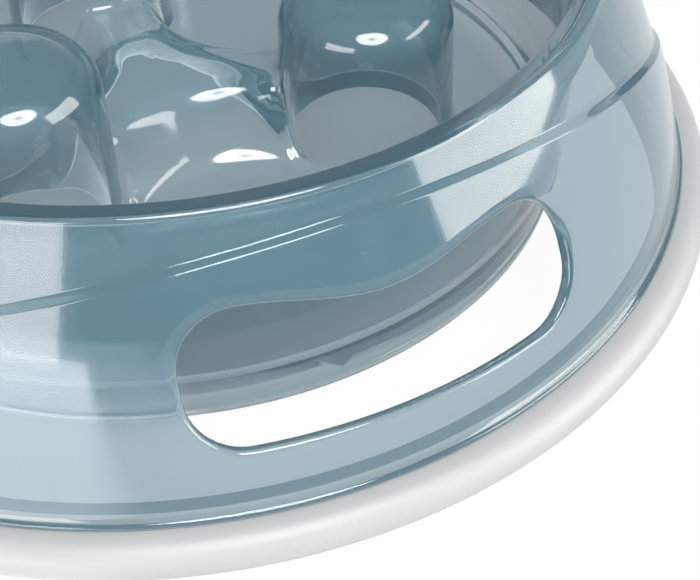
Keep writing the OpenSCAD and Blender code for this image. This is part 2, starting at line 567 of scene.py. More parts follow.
@dataclass(frozen=True)
class PostShape:
    """A post's section: foot fillet, drafted side, round shoulder and crowned top.

    Args:
        sizes: the bowl's sizes.
        post: the post.
        under: True for the hollow inside the post, one wall thickness in.
    """

    sizes: BowlSizes
    post: Post
    under: bool

    # Rounds of the search for the foot's edge on a floor that rises and falls.
    ROUNDS = 3
    # Rows round the foot, up the side and over the shoulder, and the rings on the crown.
    FOOT_ROWS = 5
    SIDE_ROWS = 7
    SHOULDER_ROWS = 10
    CROWN_SHARES = (0.75, 0.5, 0.25)

    @property
    def inset(self) -> float:
        """How far this surface lies inside the post's outside."""
        return self.sizes.wall if self.under else 0.0

    @property
    def foot(self) -> float:
        """The foot's fillet."""
        return self.sizes.post_foot_under if self.under else self.sizes.post_foot

    @property
    def top_z(self) -> float:
        """Height of the top's middle."""
        return self.post.top_z - self.inset

    def side_r(self, height: Measure) -> Measure:
        """Radius of the drafted side: it shrinks evenly from the floor up."""
        s = self.sizes
        return s.post_r - self.inset - (height - s.floor_z) * math.tan(math.radians(s.post_draft))

    def foot_edge(self, floor: FloorShape, way: np.ndarray) -> tuple[np.ndarray, np.ndarray]:
        """Where the foot's fillet leaves the floor.

        Args:
            floor: the floor under the post.
            way: directions from the post's axis, as x and y.

        Returns:
            The distance from the post's axis and the floor's height, for each direction.
        """
        near = np.full(len(way), self.sizes.post_r - self.inset + self.foot)
        for _ in range(self.ROUNDS):
            place = self.post.centre + way * near[:, None]
            base = floor.height(place[:, 0], place[:, 1])
            near = self.side_r(base + self.foot) + self.foot
        return near, base

    def section(self, near: np.ndarray, base: np.ndarray) -> list[tuple[Measure, Measure]]:
        """Rings from the foot's edge to the top, as distance from the post's axis and height.

        The foot and the shoulder are quarter turns. The crown falls with the square of the distance.

        Args:
            near: distance of the foot's edge, for each direction.
            base: the floor's height there.

        Returns:
            One pair for each ring.
        """
        s = self.sizes
        foot = self.foot
        round_r = s.post_round - self.inset
        shoulder = self.top_z - round_r
        flat_r = self.side_r(shoulder) - round_r
        low = base + foot
        rings = []
        for turn in np.radians(np.linspace(0, 90, self.FOOT_ROWS + 1))[1:]:
            rings.append((near - foot * math.sin(turn), base + foot * (1 - math.cos(turn))))
        for part in np.linspace(0, 1, self.SIDE_ROWS + 1)[1:]:
            z = low + (shoulder - low) * part
            rings.append((self.side_r(z), z))
        for turn in np.radians(np.linspace(0, 90, self.SHOULDER_ROWS + 1))[1:]:
            z = shoulder + (round_r - s.post_crown) * math.sin(turn)
            rings.append((flat_r + round_r * math.cos(turn), z))
        for part in self.CROWN_SHARES:
            rings.append((flat_r * part, self.top_z - s.post_crown * part * part))
        return rings


@dataclass(frozen=True)
class SlotShape:
    """Outline of one hand slot in the front view.

    Args:
        sizes: the bowl's sizes.
    """

    sizes: BowlSizes

    # Points in each corner's arc. The upper edge has twice as many.
    DENSE = 60
    # How far ahead and behind along the outline its direction is measured.
    AHEAD = 0.4

    def outline(self) -> np.ndarray:
        """The closed outline: four round corners, and an upper edge that dips by one cosine wave.

        Returns:
            Its x, z points, from the middle of the lower edge towards +X.
        """
        s = self.sizes
        dense = self.DENSE
        half = s.slot_half_w
        lobe_x = half - s.slot_top_round
        x = np.linspace(lobe_x, -lobe_x, 2 * dense)
        dip = s.slot_dip * (1 + np.cos(math.pi * x / lobe_x)) / 2
        top = np.stack([x, s.slot_high_z - dip], axis=-1)
        middle = [[0.0, s.slot_low_z]]
        return np.concatenate(
            [
                middle,
                rounded_corner((half, s.slot_low_z), s.slot_low_round, -90, 0, dense),
                rounded_corner((half, s.slot_high_z), s.slot_top_round, 0, 90, dense),
                top[1:-1],
                rounded_corner((-half, s.slot_high_z), s.slot_top_round, 90, 180, dense),
                rounded_corner((-half, s.slot_low_z), s.slot_low_round, 180, 270, dense),
                middle,
            ]
        )

    def spread(self, sides: list[int]) -> tuple[np.ndarray, np.ndarray]:
        """Points along the outline, with a given count on each side of the surrounding rectangle.

        The rectangle's corners meet the outline in the middle of its corner arcs.

        Args:
            sides: counts along the bottom, right, top and left.

        Returns:
            The points, and their outward directions in the front view.
        """
        s = self.sizes
        line = self.outline()
        steps = np.hypot(*np.diff(line, axis=0).T)
        length = np.concatenate([[0], np.cumsum(steps)])
        half_low_arc = math.pi / 4 * s.slot_low_round
        half_top_arc = math.pi / 4 * s.slot_top_round
        low_x = s.slot_half_w - s.slot_low_round
        side = s.slot_high_z - s.slot_low_z - s.slot_top_round - s.slot_low_round
        low_corner = low_x + half_low_arc
        top_corner = low_x + 2 * half_low_arc + side + half_top_arc
        total = length[-1]
        corners = [-low_corner, low_corner, top_corner, total - top_corner, total - low_corner]
        stretches = [
            np.linspace(a, b, count, endpoint=False) for a, b, count in zip(corners, corners[1:], sides)
        ]
        places = np.concatenate(stretches)

        def at(place: np.ndarray) -> np.ndarray:
            """Points at given lengths from the outline's first point, past its end too."""
            return np.stack([np.interp(place % total, length, axis) for axis in line.T], axis=-1)

        tangent = at(places + self.AHEAD) - at(places - self.AHEAD)
        tangent /= np.hypot(tangent[:, 0], tangent[:, 1])[:, None]
        return at(places), np.stack([tangent[:, 1], -tangent[:, 0]], axis=-1)


# The moulding


@dataclass
class Moulding:
    """The whole glossy moulding as one closed surface.

    Args:
        sizes: the bowl's sizes.
        columns: how many columns run round the bowl.
        panel_rows: rows in a lower panel.
        floor_rows: rows from a post's foot to the edge of its part of the floor.
        under_rows: the same on the underside.
        builder: collects the surface.
    """

    sizes: BowlSizes
    columns: int = 288
    panel_rows: int = 28
    floor_rows: int = 18
    under_rows: int = 12
    builder: SurfaceBuilder = field(default_factory=SurfaceBuilder)

    # A slot's rectangle of cells: columns on either side of its middle, and rows left below and above it.
    SLOT_COLUMNS = 21
    SLOT_LOW_ROW = 3
    SLOT_TOP_GAP = 3
    # Rows from that rectangle to the slot's edge, and how much they crowd towards the edge.
    MARGIN_ROWS = 8
    MARGIN_EASE = 0.35
    # Points round the slot's outer and inner edge, and the rings behind it with the fade of its thick edge.
    LIP_POINTS = 7
    ROUND_IN_POINTS = 4
    BEHIND_SHARES = (0.12, 0.3, 0.6)
    BEHIND_FADE = 9
    # Rows of the skirt above the bevel and on it, and the part of the bevel that steps out.
    UPPER_ROWS = 14
    BEVEL_ROWS = 15
    BEVEL_STEP = (0.2, 0.8)
    # Rows of the well's inside: fillet, wall, mouth, the rim's top and its outer edge.
    FILLET_POINTS = 10
    WALL_ROWS = 7
    MOUTH_POINTS = 8
    RIM_ROWS = 4
    RIM_POINTS = 10
    # Rows under the rim: up the skirt's inside, round the inside corner and down the well.
    FOLD_SHARES = (0.33, 0.66, 1.0)
    FOLD_POINTS = 6
    WELL_POINTS = 9
    # Points of the small round edges at the skirt's foot and under the well.
    BEAD_POINTS = 8
    FOOT_POINTS = 4
    LIP_BEAD_POINTS = 6
    LIP_EDGE_POINTS = 5
    LIP_FILLET_POINTS = 4
    # Steps from the floor's edge to its middle. They are in part even and in part crowd at the middle.
    EDGE_STEPS = 44
    EDGE_EVEN = 0.42
    EDGE_CROWDED = 0.58
    # The same for the rings round a post, which in part crowd at its foot.
    RING_EVEN = 0.55
    RING_CROWDED = 0.45

    def __post_init__(self) -> None:
        """Sets up the formulas and the columns' azimuths."""
        self.skirt = SkirtShape(self.sizes)
        self.slot = SlotShape(self.sizes)
        self.azimuth = np.arange(self.columns) * FULL_TURN / self.columns

    def revolve(self, outline: np.ndarray) -> np.ndarray:
        """Adds one row of points for each point of an outline, and gives their indices."""
        return self.builder.revolve(self.azimuth, outline)

    def skirt_row(self, height: np.ndarray, panel: bool, inset: float = 0.0) -> np.ndarray:
        """Adds one row of the skirt, or of its inside at an inset, and gives its indices."""
        radius = self.skirt.radius(height, panel) - inset
        return self.builder.add(circle_points(self.azimuth, radius, height))

    def lay_floor(self, under: bool, loop: np.ndarray, loop_r: float) -> None:
        """Lays the floor, the star and the posts inside a loop.

        The floor falls into three parts, one round each post. They meet along lines from the loop to the
        floor's middle.

        Args:
            under: True for the moulding's underside.
            loop: indices of the points round the floor's edge.
            loop_r: the radius of that edge.
        """
        s = self.sizes
        floor = FloorShape(s, under)
        step = FULL_TURN / self.columns
        cuts = [int(round(h.azimuth % FULL_TURN / step)) % self.columns for h in s.hollows]
        centre = int(self.builder.add(floor.lay(np.zeros((1, 2))))[0])
        share = np.linspace(0, 1, self.EDGE_STEPS + 1)[1:-1]
        crowded = np.sin(share * math.pi / 2)
        along = loop_r * (1 - (self.EDGE_EVEN * share + self.EDGE_CROWDED * crowded))
        edges = []
        for cut in cuts:
            turn = math.radians(self.azimuth[cut])
            place = np.stack([along * math.sin(turn), -along * math.cos(turn)], axis=-1)
            edges.append(self.builder.add(floor.lay(place)))
        for i, post in enumerate(s.posts):
            first, last = cuts[i - 1], cuts[i]
            count = (last - first) % self.columns
            arc = loop[(first + np.arange(count + 1)) % self.columns]
            ring = np.concatenate([arc, edges[i], [centre], edges[i - 1][::-1]])
            self.lay_post(post, floor, ring)

    def lay_post(self, post: Post, floor: FloorShape, ring: np.ndarray) -> None:
        """Lays the rings from the edge of a post's part of the floor up to the middle of its top.

        Every ring keeps the directions in which the edge's points lie from the post's axis.

        Args:
            post: the post.
            floor: the floor round it.
            ring: indices of the points round the edge.
        """
        shape = PostShape(self.sizes, post, floor.under)
        reach = self.builder.places(ring)[:, :2] - post.centre
        far = np.hypot(reach[:, 0], reach[:, 1])
        way = reach / far[:, None]
        near, base = shape.foot_edge(floor, way)
        rows = self.under_rows if floor.under else self.floor_rows
        share = np.linspace(1, 0, rows + 1)[1:]
        share = self.RING_EVEN * share + self.RING_CROWDED * share**2
        rings = [ring]
        for part in share:
            place = post.centre + way * (near + (far - near) * part)[:, None]
            rings.append(self.builder.add(floor.lay(place)))
        for distance, height in shape.section(near, base):
            place = post.centre + way * np.broadcast_to(distance, far.shape)[:, None]
            height = np.broadcast_to(height, far.shape)
            rings.append(self.builder.add(np.column_stack([place, height])))
        top = self.builder.add(np.array([[*post.centre, shape.top_z]]))
        self.builder.join(np.stack(rings))
        self.builder.fan(rings[-1], int(top[0]))

    def lay_skirt(self) -> tuple[np.ndarray, int]:
        """Adds the rows of the skirt's outside from the rim down to the foot.

        Returns:
            The rows' indices, and the place of the panel's first row among them.
        """
        s = self.sizes
        top, low = self.skirt.edges(self.azimuth)
        rows = []
        for share in np.linspace(0, 1, self.UPPER_ROWS + 1)[1:]:
            rows.append(self.skirt_row(s.skirt_from_z + (top - s.skirt_from_z) * share, False))
        for share in np.linspace(0, 1, self.BEVEL_ROWS + 1)[1:-1]:
            z = top + (low - top) * share
            out = smooth_step(self.BEVEL_STEP, share)
            r = (1 - out) * self.skirt.radius(z, False) + out * self.skirt.radius(z, True)
            rows.append(self.builder.add(circle_points(self.azimuth, r, z)))
        first = len(rows)
        for share in np.linspace(0, 1, self.panel_rows + 1):
            rows.append(self.skirt_row(low + (s.bead_top_z - low) * share, True))
        return np.stack(rows), first

    def lay_inner_panel(self) -> np.ndarray:
        """Adds the same rows as in a lower panel on the skirt's inside.

        Returns:
            The rows' indices, from the top down.
        """
        s = self.sizes
        low = self.skirt.edges(self.azimuth)[1]
        rows = []
        for share in np.linspace(1, 0, self.panel_rows + 1):
            rows.append(self.skirt_row(low + (s.bead_top_z - low) * share, False, s.wall))
        return np.stack(rows[::-1])

    def panel_heights(self, column: np.ndarray, row: np.ndarray) -> np.ndarray:
        """Heights of some of the panel's points.

        Args:
            column: their columns; a column may be less than nought.
            row: their rows in the panel.

        Returns:
            The heights.
        """
        low = self.skirt.edges(self.azimuth[column % self.columns])[1]
        return low + (self.sizes.bead_top_z - low) * row / self.panel_rows

    def slot_cells(self) -> np.ndarray:
        """Which cells of the panel's rows stay, outside the two slots' rectangles.

        Returns:
            One flag for each cell.
        """
        keep = np.ones((self.panel_rows, self.columns), bool)
        half = self.SLOT_COLUMNS
        for middle in (0, self.columns // 2):
            inside = (middle + np.arange(-half, half)) % self.columns
            keep[self.SLOT_TOP_GAP : self.panel_rows - self.SLOT_LOW_ROW, inside] = False
        return keep

    def slot_place(self, flat: np.ndarray, depth: Measure, side: int) -> np.ndarray:
        """Puts points of the front view on the panel, or under its surface.

        The radius at a point's height gives its azimuth: the sine is x over the radius. The depth is
        measured square to the panel.

        Args:
            flat: the points' x and z.
            depth: how deep they lie.
            side: one for the front slot, minus one for the rear one.

        Returns:
            The points, as x, y, z.
        """
        z = flat[:, 1]
        r = self.skirt.radius(z, True)
        sine = flat[:, 0] / r
        cosine = np.sqrt(1 - sine * sine)
        lean = self.skirt.lean(z)
        out = r - depth * np.cos(lean)
        return np.stack([side * out * sine, -side * out * cosine, z - depth * np.sin(lean)], axis=-1)

    def lay_slot(self, outer: np.ndarray, inner: np.ndarray, middle: int) -> None:
        """Lays the ring of faces round one slot, on the outside, over the edge and on the inside.

        Args:
            outer: indices of the panel's rows on the outside.
            inner: indices of the same rows on the inside.
            middle: the column at the slot's middle.
        """
        s = self.sizes
        half = self.SLOT_COLUMNS
        bottom = self.panel_rows - self.SLOT_LOW_ROW
        top = self.SLOT_TOP_GAP
        tall = bottom - top
        wide = 2 * half
        across = np.arange(-half, half)
        columns = np.concatenate([across, np.full(tall, half), -across, np.full(tall, -half)])
        down = np.arange(bottom, top, -1)
        rows = np.concatenate([np.full(wide, bottom), down, np.full(wide, top), np.arange(top, bottom)])
        index = (columns + middle) % self.columns
        heights = self.panel_heights(columns, rows)
        turn = np.radians(columns * FULL_TURN / self.columns)
        frame = np.stack([self.skirt.radius(heights, True) * np.sin(turn), heights], axis=-1)
        line, away = self.slot.spread([wide, tall, wide, tall])
        upper = smooth_step(s.slot_upper_fade, line[:, 1])
        lip = s.slot_lip + s.slot_lip_more * upper
        thick = s.wall + s.slot_thick_more * upper
        side = 1 if middle == 0 else -1
        rings = [outer[rows, index]]

        def lay(flat: np.ndarray, depth: Measure) -> None:
            """Adds one ring of points."""
            rings.append(self.builder.add(self.slot_place(flat, depth, side)))

        start = line + away * lip[:, None]
        for share in np.linspace(0, 1, self.MARGIN_ROWS + 1)[1:-1]:
            ease = share + self.MARGIN_EASE * math.sin(math.pi * share) ** 2 * (1 - share)
            lay(frame + (start - frame) * ease, 0.0)
        for angle in np.radians(np.linspace(0, 90, self.LIP_POINTS)):
            lay(line + away * (lip * (1 - math.sin(angle)))[:, None], lip * (1 - math.cos(angle)))
        round_in = s.slot_round_in
        for angle in np.radians(np.linspace(0, 90, self.ROUND_IN_POINTS)):
            depth = thick - round_in + round_in * math.sin(angle)
            lay(line + away * (round_in * (1 - math.cos(angle))), depth)
        panel_depth = s.panel_proud / 2 + s.wall
        room = away * round_in
        for share in self.BEHIND_SHARES:
            fade = math.exp(-share * self.BEHIND_FADE)
            lay(line + room + (frame - line - room) * share, panel_depth + (thick - panel_depth) * fade)
        rings.append(inner[rows, index])
        self.builder.join(np.stack(rings))

    def inside_outline(self) -> np.ndarray:
        """The well's fillet, its wall, the rounded mouth, the rim's top and its round outer edge.

        Returns:
            Points of radius and height, from the floor up.
        """
        s = self.sizes
        slope = math.degrees(math.atan((s.mouth_r - s.floor_r) / (s.rim_low_z - s.floor_z)))
        fillet_at = (s.floor_r - s.well_fillet, s.floor_z + s.well_fillet)
        fillet = arc_points(fillet_at, s.well_fillet, -90, -slope, self.FILLET_POINTS)
        wall = run_points(fillet[-1], np.array([s.mouth_r, s.mouth_round_z]), self.WALL_ROWS)
        mouth_at = (s.mouth_r + s.mouth_round, s.mouth_round_z)
        mouth = arc_points(mouth_at, s.mouth_round, *s.mouth_turns, self.MOUTH_POINTS)[1:]
        edge = arc_points(s.rim_round_at, s.rim_round, *s.rim_turns, self.RIM_POINTS)
        top = run_points(mouth[-1], edge[0], self.RIM_ROWS)[:-1]
        return np.concatenate([fillet, wall, mouth, top, edge])

    def foot_outline(self) -> np.ndarray:
        """The skirt's bead over the ring and its foot inside the ring's groove.

        Returns:
            Points of radius and height, from the bead round the foot to its inside.
        """
        s = self.sizes
        bead_at = (s.foot_r, s.ring_h + s.bead_gap + s.bead_round)
        bead = arc_points(bead_at, s.bead_round, *s.bead_turns, self.BEAD_POINTS)
        corners = ((s.foot_r, 0, -90), (s.foot_r - s.wall, -90, -180))
        edges = [
            rounded_corner((r, s.foot_low_z), s.foot_round, start, end, self.FOOT_POINTS)
            for r, start, end in corners
        ]
        return np.concatenate([bead, *edges])

    def well_outline(self) -> np.ndarray:
        """The well's outside, the fine bead near its bottom and the lip under it.

        Returns:
            Points of radius and height, from the rim's underside down.
        """
        s = self.sizes
        under = s.floor_z - s.wall
        low = under - s.base_lip_h
        edge = self.LIP_EDGE_POINTS
        bead_at = (s.lip_out_r, under + s.lip_bead_up)
        start = (s.mouth_r + s.wall, s.rim_low_z - s.fold_low)
        end = (s.floor_r + s.wall + s.corner_room, s.floor_z)
        return np.concatenate(
            [
                np.linspace(start, end, self.WELL_POINTS),
                arc_points(bead_at, s.lip_bead, *s.lip_bead_turns, self.LIP_BEAD_POINTS),
                rounded_corner((s.lip_out_r, low), s.lip_round, 0, -90, edge),
                rounded_corner((s.lip_in_r, low), s.lip_round, -90, -180, edge),
                rounded_corner((s.lip_in_r, under), s.lip_fillet, 0, 90, self.LIP_FILLET_POINTS),
            ]
        )

    def lay_underside(self, panel_top: np.ndarray) -> np.ndarray:
        """Lays the inside from the panel up to the rim's underside and down the well's outside.

        Args:
            panel_top: indices of the inner panel's uppermost row.

        Returns:
            Indices of the last row, round the moulding's underside.
        """
        s = self.sizes
        low = self.skirt.edges(self.azimuth)[1]
        corner_z = s.rim_low_z - s.fold_low
        rise = [self.skirt_row(low + (corner_z - low) * share, False, s.wall) for share in self.FOLD_SHARES]
        fold_at = (s.mouth_r + s.wall + s.fold_round + s.fold_gap, s.rim_low_z - s.fold_round)
        fold = self.revolve(arc_points(fold_at, s.fold_round, *s.fold_turns, self.FOLD_POINTS))
        well = self.revolve(self.well_outline())
        self.builder.join(np.concatenate([[panel_top], np.stack(rise), fold, well]))
        return well[-1]

    def build(self) -> bpy.types.Object:
        """Builds the moulding.

        Returns:
            The Blender object.
        """
        s = self.sizes
        join = self.builder.join
        inside = self.revolve(self.inside_outline())
        skirt, first = self.lay_skirt()
        panel = skirt[first:]
        join(np.concatenate([inside, skirt[: first + 1]]))
        join(panel, self.slot_cells())
        foot = self.revolve(self.foot_outline())
        join(np.concatenate([panel[-1:], foot]))
        inner_panel = self.lay_inner_panel()
        join(inner_panel, self.slot_cells())
        join(np.stack([foot[-1], inner_panel[-1]]))
        under_loop = self.lay_underside(inner_panel[0])
        for middle in (0, self.columns // 2):
            self.lay_slot(panel, inner_panel, middle)
        self.lay_floor(False, inside[0], s.floor_r - s.well_fillet)
        self.lay_floor(True, under_loop, float(self.well_outline()[-1][0]))
        return self.builder.build("bowl_moulding")

    def dress(self, piece: bpy.types.Object) -> None:
        """Gives the moulding its smoky plastic and puts it in the place of the six CAD nodes.

        Args:
            piece: the moulding.
        """
        piece.data.materials.append(PLASTIC.material())
        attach(piece, "root")
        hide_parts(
            "outer_skirt", "feeding_well", "post_right", "post_left", "post_rear", "centre_star"
        )


# The soft ring


@dataclass
class SoftRing:
    """The soft ring under the skirt's foot, with the groove that takes the foot.

    Args:
        sizes: the bowl's sizes.
        columns: how many columns run round the ring.
        outer_r: radius of the ring's outside.
        low_round: rounding of the outer lower edge.
        top_round: rounding of the outer upper edge.
        inner_low_round: rounding of the inner lower edge.
        lip_rise: how far the inner lip rises above the ring's top.
        lip_round: rounding of the inner lip.
        gap: clearance between the skirt's foot and the groove.
        groove_round: rounding of the groove's two upper edges.
    """

    sizes: BowlSizes
    columns: int = 288
    outer_r: float = 114.96
    low_round: float = 1.8
    top_round: float = 4.0
    inner_low_round: float = 0.4
    lip_rise: float = 1.15
    lip_round: float = 0.8
    gap: float = 0.1
    groove_round: float = 0.3

    # Points round the inner and outer lower edges, the outer upper edge, the groove's edges and the lip.
    INNER_LOW_POINTS = 4
    LOW_POINTS = 8
    TOP_POINTS = 14
    GROOVE_POINTS = 4
    LIP_POINTS = 6

    def outline(self) -> np.ndarray:
        """The ring's closed outline: rounded corners joined by straight runs, and the groove.

        Returns:
            Points of radius and height, anticlockwise from the inner lower corner.
        """
        s = self.sizes
        inner_r = self.outer_r - s.ring_w
        lip_z = s.ring_h + self.lip_rise
        groove_out = s.foot_r + self.gap
        groove_in = s.foot_r - s.wall - self.gap
        edge = self.groove_round
        return np.concatenate(
            [
                rounded_corner((inner_r, 0.0), self.inner_low_round, 180, 270, self.INNER_LOW_POINTS),
                [[(inner_r + self.outer_r) / 2, 0.0]],
                rounded_corner((self.outer_r, 0.0), self.low_round, -90, 0, self.LOW_POINTS),
                rounded_corner((self.outer_r, s.ring_h), self.top_round, 0, 90, self.TOP_POINTS),
                rounded_corner((groove_out, s.ring_h), edge, 90, 180, self.GROOVE_POINTS),
                [[groove_out, s.foot_low_z], [groove_in, s.foot_low_z], [groove_in, lip_z - edge]],
                rounded_corner((groove_in, lip_z), edge, 0, 90, self.GROOVE_POINTS),
                rounded_corner((inner_r, lip_z), self.lip_round, 90, 180, self.LIP_POINTS),
            ]
        )

    def build(self) -> bpy.types.Object:
        """Turns the outline round the axis: each outline point gives one circle of points.

        Returns:
            The Blender object.
        """
        builder = SurfaceBuilder()
        rows = builder.revolve(np.arange(self.columns) * FULL_TURN / self.columns, self.outline())
        builder.join(np.concatenate([rows, rows[:1]]))
        return builder.build("soft_ring")

    def dress(self, piece: bpy.types.Object) -> None:
        """Gives the ring its satin white rubber and puts it in the place of the CAD node.

        Args:
            piece: the ring.
        """
        piece.data.materials.append(RUBBER.material())
        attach(piece, "root")
        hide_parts("grip_ring")


# Node building


def feed(tree: bpy.types.NodeTree, node: bpy.types.Node, inputs: dict[str | int, Feed]) -> None:
    """Fills a node's inputs.

    Args:
        tree: the node tree.
        node: the node.
        inputs: for each input, by name or place, another node's socket to link or a plain value to set.
    """
    for name, value in inputs.items():
        if isinstance(value, bpy.types.NodeSocket):
            tree.links.new(value, node.inputs[name])
        else:
            node.inputs[name].default_value = value


def add_node(
    tree: bpy.types.NodeTree, kind: str, inputs: dict[str | int, Feed] | None = None
) -> bpy.types.Node:
    """Adds a node and fills its inputs.

    Args:
        tree: the node tree.
        kind: the node's kind, in Blender's word.
        inputs: what goes into its inputs, as feed takes it; nothing when left out.

    Returns:
        The node.
    """
    node = tree.nodes.new(kind)
    feed(tree, node, inputs or {})
    return node


def combine(tree: bpy.types.NodeTree, operation: str, *terms: Feed) -> Socket:
    """Joins values by a Math node's operation.

    Args:
        tree: the node tree.
        operation: the operation, in the node's own word.
        terms: the values, as sockets or numbers, in the order of the node's inputs.

    Returns:
        The result's socket.
    """
    node = tree.nodes.new("ShaderNodeMath")
    node.operation = operation
    feed(tree, node, dict(enumerate(terms)))
    return node.outputs["Value"]


def measure(tree: bpy.types.NodeTree, operation: str, *vectors: Feed) -> Socket:
    """Turns vectors into one value by a Vector Math node's operation.

    Args:
        tree: the node tree.
        operation: the operation, in the node's own word.
        vectors: the vectors, as sockets or plain ones.

    Returns:
        The value's socket.
    """
    node = tree.nodes.new("ShaderNodeVectorMath")
    node.operation = operation
    feed(tree, node, dict(enumerate(vectors)))
    return node.outputs["Value"]


def ramp(
    tree: bpy.types.NodeTree,
    value: Socket,
    reach: tuple[float, float],
    result: tuple[float, float] = (0.0, 1.0),
    soft: bool = True,
) -> Socket:
    """A step of a value.

    Args:
        tree: the node tree.
        value: the value's socket.
        reach: where the step begins and ends.
        result: what it gives before and after.
        soft: True for a soft step, False for an even one.

    Returns:
        The step's socket.
    """
    step = tree.nodes.new("ShaderNodeMapRange")
    step.interpolation_type = "SMOOTHSTEP" if soft else "LINEAR"
    inputs = {"From Min": reach[0], "From Max": reach[1], "To Min": result[0], "To Max": result[1]}
    feed(tree, step, {"Value": value, **inputs})
    return step.outputs["Result"]


def tint(tree: bpy.types.NodeTree, mask: Socket, first: Socket | Colour, second: Colour) -> Socket:
    """Mixes two colours by a mask.

    Args:
        tree: the material's node tree.
        mask: nought for the first colour, one for the second.
        first: linear colour, or the socket of one.
        second: linear colour.

    Returns:
        The mixed colour's socket.
    """
    mix = tree.nodes.new("ShaderNodeMix")
    mix.data_type = "RGBA"
    plain = isinstance(first, tuple)
    feed(tree, mix, {"Factor": mask, "A": (*first, 1) if plain else first, "B": (*second, 1)})
    return mix.outputs["Result"]


def blend(tree: bpy.types.NodeTree, share: Socket, first: Socket, second: Socket) -> Socket:
    """Mixes two shaders: the first where the share is nought, the second where it is one."""
    return add_node(tree, "ShaderNodeMixShader", {"Fac": share, 1: first, 2: second}).outputs["Shader"]


def empty_material(name: str) -> bpy.types.Material:
    """Makes a material whose node tree holds nothing yet.

    Args:
        name: the material's name.

    Returns:
        The material.
    """
    material = bpy.data.materials.new(name)
    material.use_nodes = True
    material.node_tree.nodes.clear()
    return material


# Finishes


# The shared surface detail: its sockets, the noises' octaves, how much finer the fine one is, and how
# many cells for dust specks there are to the metre.
DETAIL_GROUP = "moulded_surface"
DETAIL_INPUTS = {"Scale": 60.0, "Roughness": 0.1, "Spread": 0.05, "Speck Size": 0.1, "Speck Share": 0.05}
DETAIL_OUTPUTS = ("Roughness", "Height", "Cloud", "Specks")
SLOW_OCTAVES = 3.0
FINE_OCTAVES = 2.0
FINE_TIMES_SLOW = 14.0
SPECK_CELLS = 260.0


def surface_detail() -> bpy.types.ShaderNodeTree:
    """The shared group for a moulded surface: slow and fine noise over the object.

    Roughness is the given one plus a spread times slow noise. Height is fine noise. Cloud is slow noise
    between nought and one. Specks is one at a few small dots of dust: the middle of a cell of points, kept
    only where the cell's own random value is low.

    Returns:
        The group, made once.
    """
    if DETAIL_GROUP in bpy.data.node_groups:
        return bpy.data.node_groups[DETAIL_GROUP]
    group = bpy.data.node_groups.new(DETAIL_GROUP, "ShaderNodeTree")
    for label, usual in DETAIL_INPUTS.items():
        socket = group.interface.new_socket(name=label, in_out="INPUT", socket_type="NodeSocketFloat")
        socket.default_value = usual
    for label in DETAIL_OUTPUTS:
        group.interface.new_socket(name=label, in_out="OUTPUT", socket_type="NodeSocketFloat")
    given = group.nodes.new("NodeGroupInput").outputs
    place = add_node(group, "ShaderNodeTexCoord").outputs["Object"]
    slow = {"Vector": place, "Scale": given["Scale"], "Detail": SLOW_OCTAVES}
    cloud = add_node(group, "ShaderNodeTexNoise", slow).outputs["Fac"]
    fine_scale = combine(group, "MULTIPLY", given["Scale"], FINE_TIMES_SLOW)
    fine = {"Vector": place, "Scale": fine_scale, "Detail": FINE_OCTAVES}
    height = add_node(group, "ShaderNodeTexNoise", fine).outputs["Fac"]
    rough = combine(group, "MULTIPLY_ADD", cloud, given["Spread"], given["Roughness"])
    cells = add_node(group, "ShaderNodeTexVoronoi", {"Vector": place, "Scale": SPECK_CELLS})
    chance = add_node(group, "ShaderNodeSeparateColor", {"Color": cells.outputs["Color"]})
    near = combine(group, "LESS_THAN", cells.outputs["Distance"], given["Speck Size"])
    rare = combine(group, "LESS_THAN", chance.outputs["Red"], given["Speck Share"])
    specks = combine(group, "MULTIPLY", near, rare)
    results = {"Roughness": rough, "Height": height, "Cloud": cloud, "Specks": specks}
    add_node(group, "NodeGroupOutput", results)
    return group


@dataclass(frozen=True)
class Grain:
    """How the shared surface detail shows on a finish.

    Args:
        scale: scale of the slow noise.
        spread: how far roughness varies.
        depth: depth of the fine noise, in metres.
        speck_size: size of a dust speck as a share of its cell.
        speck_share: share of cells that hold a speck.
    """

    scale: float
    spread: float
    depth: float
    speck_size: float
    speck_share: float

    def place(self, tree: bpy.types.NodeTree, roughness: float) -> tuple[bpy.types.Node, Socket]:
        """Adds the shared group and a bump node to a material.

        Args:
            tree: the material's node tree.
            roughness: the finish's lowest roughness.

        Returns:
            The group's node, and the bumped normal's socket.
        """
        detail = tree.nodes.new("ShaderNodeGroup")
        detail.node_tree = surface_detail()
        values = {
            "Scale": self.scale,
            "Roughness": roughness,
            "Spread": self.spread,
            "Speck Size": self.speck_size,
            "Speck Share": self.speck_share,
        }
        feed(tree, detail, values)
        bump = {"Distance": self.depth, "Height": detail.outputs["Height"]}
        return detail, add_node(tree, "ShaderNodeBump", bump).outputs["Normal"]


